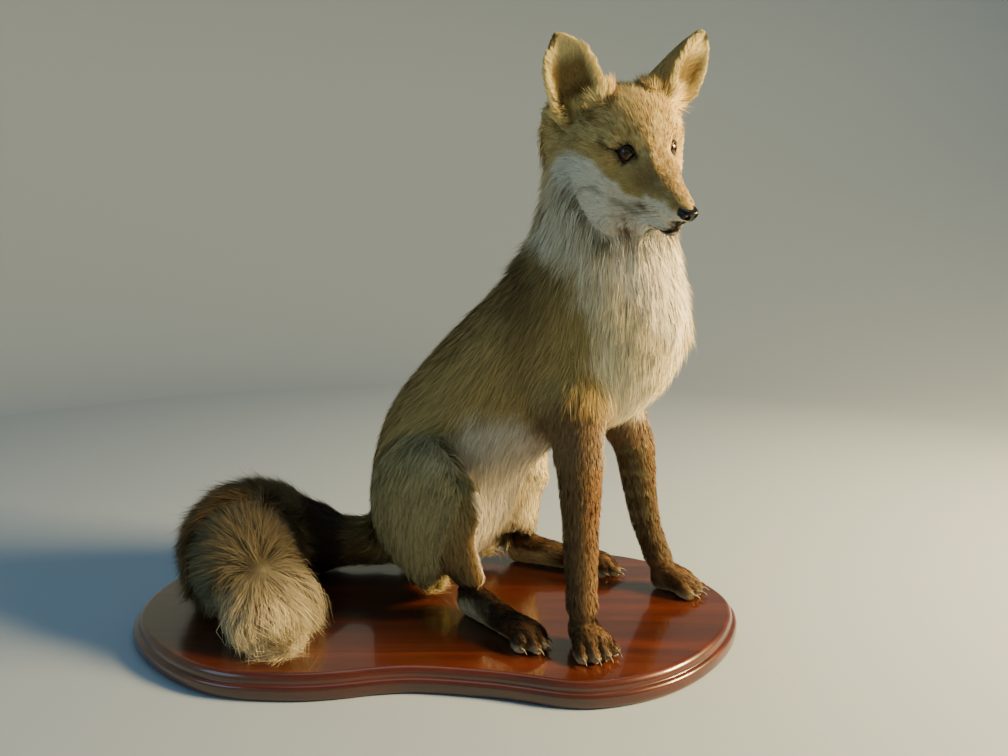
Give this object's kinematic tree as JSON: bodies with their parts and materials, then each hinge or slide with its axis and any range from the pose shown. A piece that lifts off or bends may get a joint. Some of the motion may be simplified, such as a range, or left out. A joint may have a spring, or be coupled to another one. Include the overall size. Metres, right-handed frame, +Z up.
{
  "type": "taxidermy fox",
  "caption": "Mounted red fox sitting upright on a kidney-shaped wooden plaque, head turned to its right and brush curled round behind it.",
  "frame": {"origin": "centre of the bounding box on the plaque's underside", "axes": "+Z up; +X along the plaque's length towards the fox's forepaws; +Y to the back of the display; the fox faces 28 degrees to the -Y side of +X and its head is turned further that way"},
  "size_m": [0.6376, 0.3245, 0.5873],
  "materials": {
    "tawny_coat": "tawny-yellow fox fur, dense and slightly glossy",
    "cream_coat": "cream-white fox fur, soft",
    "dark_coat": "short dark-brown fox fur",
    "brush_coat": "long grizzled fur of the brush",
    "leg_coat": "short brown leg fur",
    "glass_eye": "glass taxidermy eye, very glossy, dark amber",
    "nose_skin": "painted black nose leather, glossy",
    "claw": "pale horn",
    "plaque_wood": "reddish varnished hardwood, glossy"
  },
  "bodies": {
    "root": {"claw_front_left_1": "claw", "claw_front_left_2": "claw", "claw_front_left_3": "claw", "claw_front_left_4": "claw", "claw_front_right_1": "claw", "claw_front_right_2": "claw", "claw_front_right_3": "claw", "claw_front_right_4": "claw", "claw_hind_left_1": "claw", "claw_hind_left_2": "claw", "claw_hind_left_3": "claw", "claw_hind_left_4": "claw", "claw_hind_right_1": "claw", "claw_hind_right_2": "claw", "claw_hind_right_3": "claw", "claw_hind_right_4": "claw", "ear_left": "cream_coat", "ear_right": "cream_coat", "eye_left": "glass_eye", "eye_right": "glass_eye", "foot_hind_left": "dark_coat", "foot_hind_right": "dark_coat", "forearm_left": "leg_coat", "forearm_right": "leg_coat", "head": "tawny_coat", "lower_jaw": "cream_coat", "neck": "cream_coat", "nose": "nose_skin", "paw_front_left": "dark_coat", "paw_front_right": "dark_coat", "shank_left": "tawny_coat", "shank_right": "tawny_coat", "stand_base": "plaque_wood", "tail_brush": "brush_coat", "tail_middle": "dark_coat", "tail_root": "brush_coat", "tail_tip": "cream_coat", "thigh_left": "tawny_coat", "thigh_right": "tawny_coat", "trunk": "tawny_coat"}
  },
  "joints": []
}
